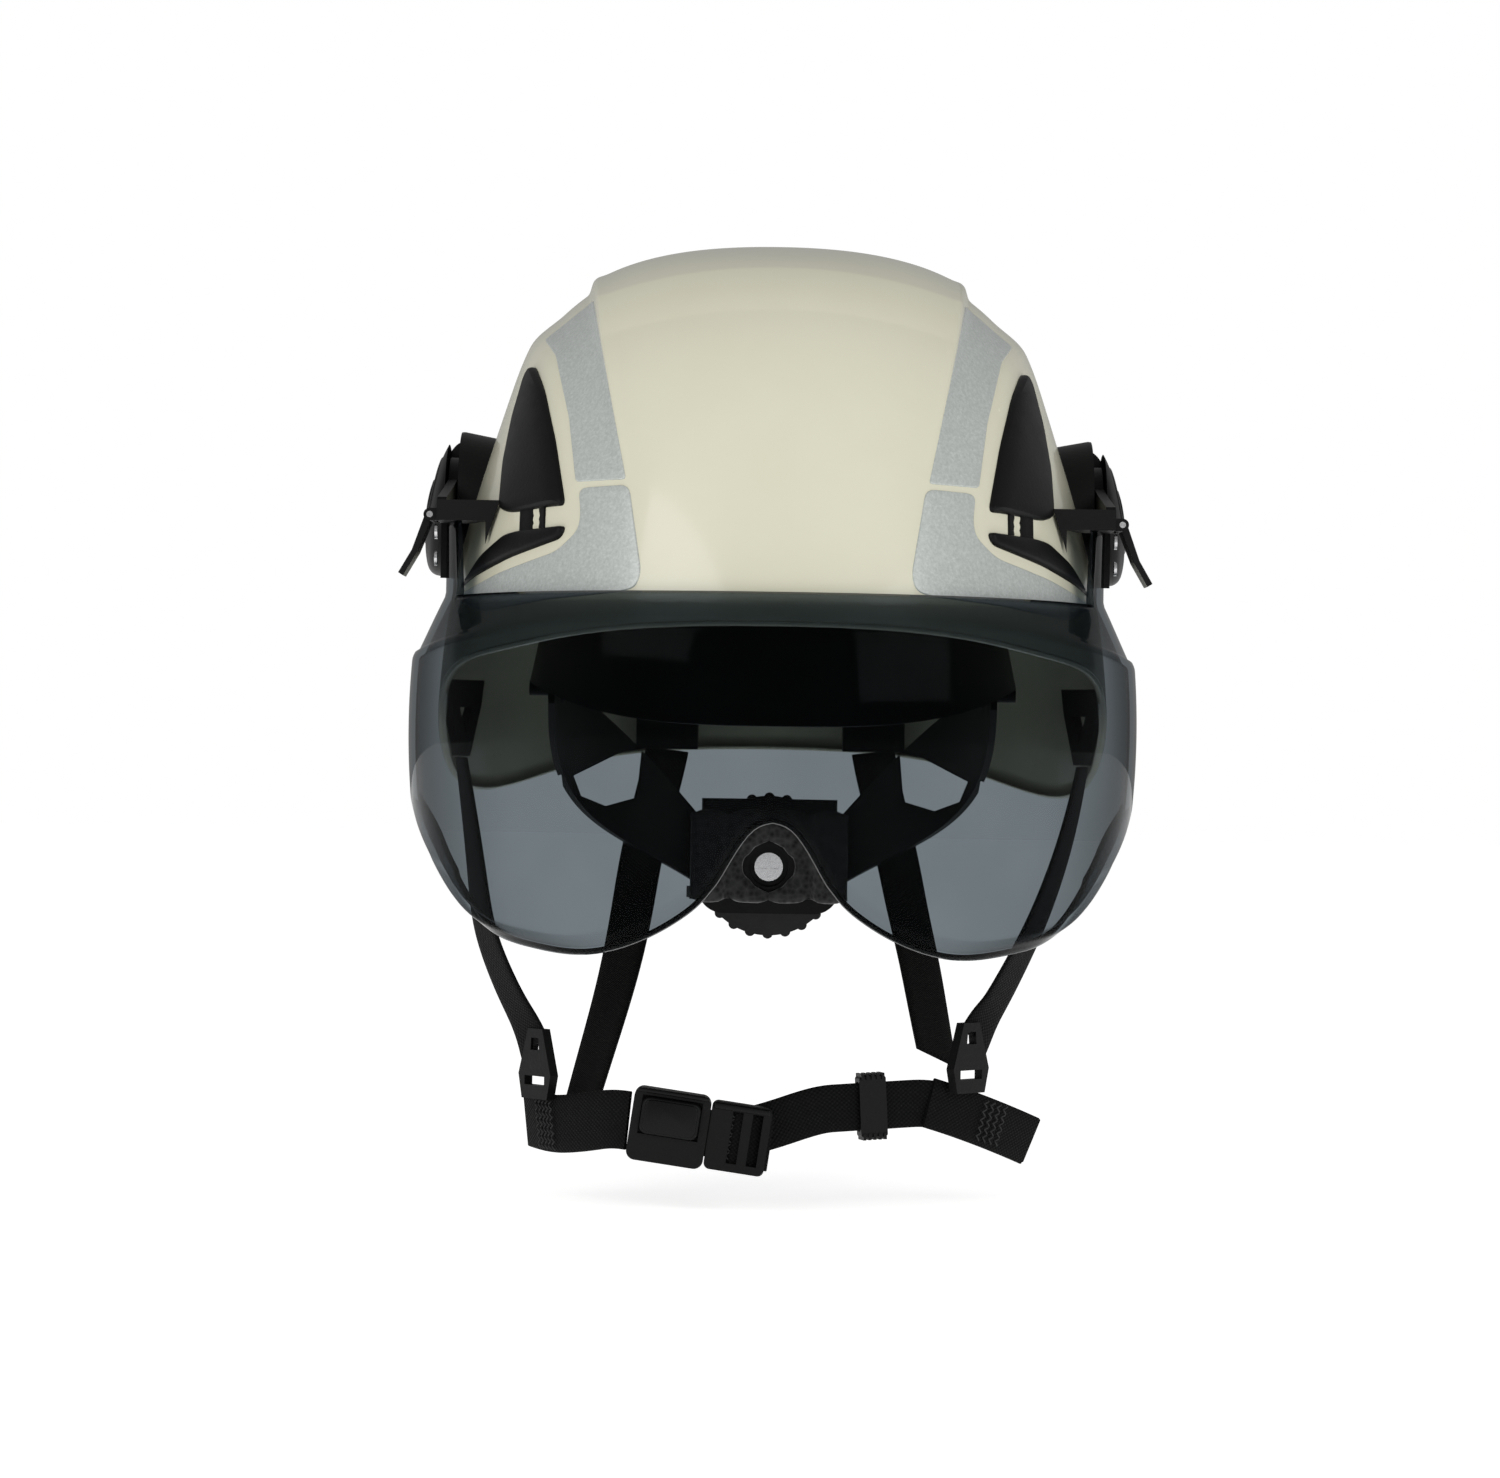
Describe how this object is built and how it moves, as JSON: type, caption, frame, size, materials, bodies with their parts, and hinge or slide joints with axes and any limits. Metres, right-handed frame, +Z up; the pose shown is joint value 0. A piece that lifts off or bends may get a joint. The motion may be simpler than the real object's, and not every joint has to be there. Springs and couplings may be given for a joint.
{
  "type": "hard hat",
  "caption": "Vented safety helmet with a glossy shell, a tinted swing-up eye visor on side hubs, a ratchet nape fitting and a webbing chin strap with a push-button buckle.",
  "frame": {"origin": "middle of the head opening, level with the brow rim of the shell, where the head fits", "axes": "+Z up towards the crown, -Y the way the wearer looks, +X the wearer's left"},
  "size_m": [0.2422, 0.3007, 0.3037],
  "materials": {
    "shell_plastic": "smooth glossy cream ABS",
    "reflective_tape": "grey retroreflective film",
    "black_plastic": "fine textured black nylon",
    "liner_foam": "black expanded foam",
    "visor_tint": "grey tinted clear polycarbonate",
    "steel": "zinc plated steel",
    "washer_rubber": "matt black",
    "webbing": "black woven polyester",
    "pad_fabric": "black knitted mesh over foam",
    "dial_plastic": "dark grey moulded nylon"
  },
  "bodies": {
    "root": {"brow_pad": "pad_fabric", "buckle_body": "black_plastic", "chin_web_left": "webbing", "chin_web_right": "webbing", "crown_pad": "pad_fabric", "crown_straps": "webbing", "divider_left": "black_plastic", "divider_right": "black_plastic", "friction_washer_left": "washer_rubber", "friction_washer_right": "washer_rubber", "front_anchor_left": "black_plastic", "front_anchor_right": "black_plastic", "front_tapes": "reflective_tape", "front_vent_insert_left": "black_plastic", "front_vent_insert_right": "black_plastic", "front_web_left": "webbing", "front_web_right": "webbing", "headband": "black_plastic", "hub_base_left": "black_plastic", "hub_base_right": "black_plastic", "hub_cap_left": "black_plastic", "hub_cap_right": "black_plastic", "impact_liner": "liner_foam", "nape_pivots": "black_plastic", "pivot_pin_left": "steel", "pivot_pin_right": "steel", "rear_anchor_left": "black_plastic", "rear_anchor_right": "black_plastic", "rear_tapes": "reflective_tape", "rear_vent_insert_left": "black_plastic", "rear_vent_insert_right": "black_plastic", "rear_web_left": "webbing", "rear_web_right": "webbing", "shell": "shell_plastic", "suspension_keys": "black_plastic"},
    "visor": {"visor_lens": "visor_tint", "visor_arm_left": "black_plastic", "visor_arm_right": "black_plastic", "ear_screws": "steel", "lever_lugs": "black_plastic", "lever_pins": "steel"},
    "lever_left": {"lock_lever_left": "black_plastic"},
    "lever_right": {"lock_lever_right": "black_plastic"},
    "nape": {"nape_wing_left": "black_plastic", "nape_wing_right": "black_plastic", "nape_bridge": "black_plastic", "nape_pad": "pad_fabric", "ratchet_housing": "black_plastic", "ratchet_cover": "black_plastic", "detent_spring": "steel"},
    "knob": {"ratchet_knob": "dial_plastic", "knob_pinion": "dial_plastic", "knob_screw": "steel"},
    "rack_l": {"rack_left": "black_plastic"},
    "rack_r": {"rack_right": "black_plastic"},
    "button": {"buckle_button": "black_plastic"},
    "slider": {"buckle_slider": "black_plastic"},
    "keeper": {"strap_keeper": "black_plastic"}
  },
  "joints": [
    {"name": "visor_swing", "type": "hinge", "parent": "root", "child": "visor", "pos_m": [0, 0.005, 0.0415], "axis": [-1, 0, 0], "range_deg": [0, 75]},
    {"name": "lever_left_flip", "type": "hinge", "parent": "visor", "child": "lever_left", "pos_m": [0.11112, 0, 0.0365], "axis": [0, -1, 0], "range_deg": [-16, 35]},
    {"name": "lever_right_flip", "type": "hinge", "parent": "visor", "child": "lever_right", "pos_m": [-0.11112, 0, 0.0365], "axis": [0, 1, 0], "range_deg": [-16, 35]},
    {"name": "nape_tilt", "type": "hinge", "parent": "root", "child": "nape", "pos_m": [0, 0.006, -0.018], "axis": [1, 0, 0], "range_deg": [-4, 10]},
    {"name": "knob_turn", "type": "hinge", "parent": "nape", "child": "knob", "pos_m": [0, 0.1019, -0.079], "axis": [0, 1, 0], "range_deg": [-70, 70]},
    {"name": "rack_left_slide", "type": "hinge", "parent": "nape", "child": "rack_l", "pos_m": [0, 0.0189, 0], "axis": [0, 0, -1], "range_deg": [-5.06, 5.06]},
    {"name": "rack_right_slide", "type": "hinge", "parent": "nape", "child": "rack_r", "pos_m": [0, 0.0189, 0], "axis": [0, 0, 1], "range_deg": [-5.06, 5.06]},
    {"name": "button_press", "type": "slide", "parent": "root", "child": "button", "axis": [0, 1, 0], "range_m": [0, 0.0018], "stiffness_N_per_m": 300, "springref_m": -0.001},
    {"name": "slider_release", "type": "slide", "parent": "root", "child": "slider", "axis": [0.9903, 0, -0.1392], "range_m": [0, 0.012]},
    {"name": "keeper_slide", "type": "slide", "parent": "root", "child": "keeper", "axis": [0.964, 0.2603, 0.0546], "range_m": [-0.006, 0.006]}
  ],
  "couplings": [
    {"joint": "rack_left_slide", "follows": "knob_turn", "ratio": 0.072289},
    {"joint": "rack_right_slide", "follows": "knob_turn", "ratio": 0.072289}
  ]
}
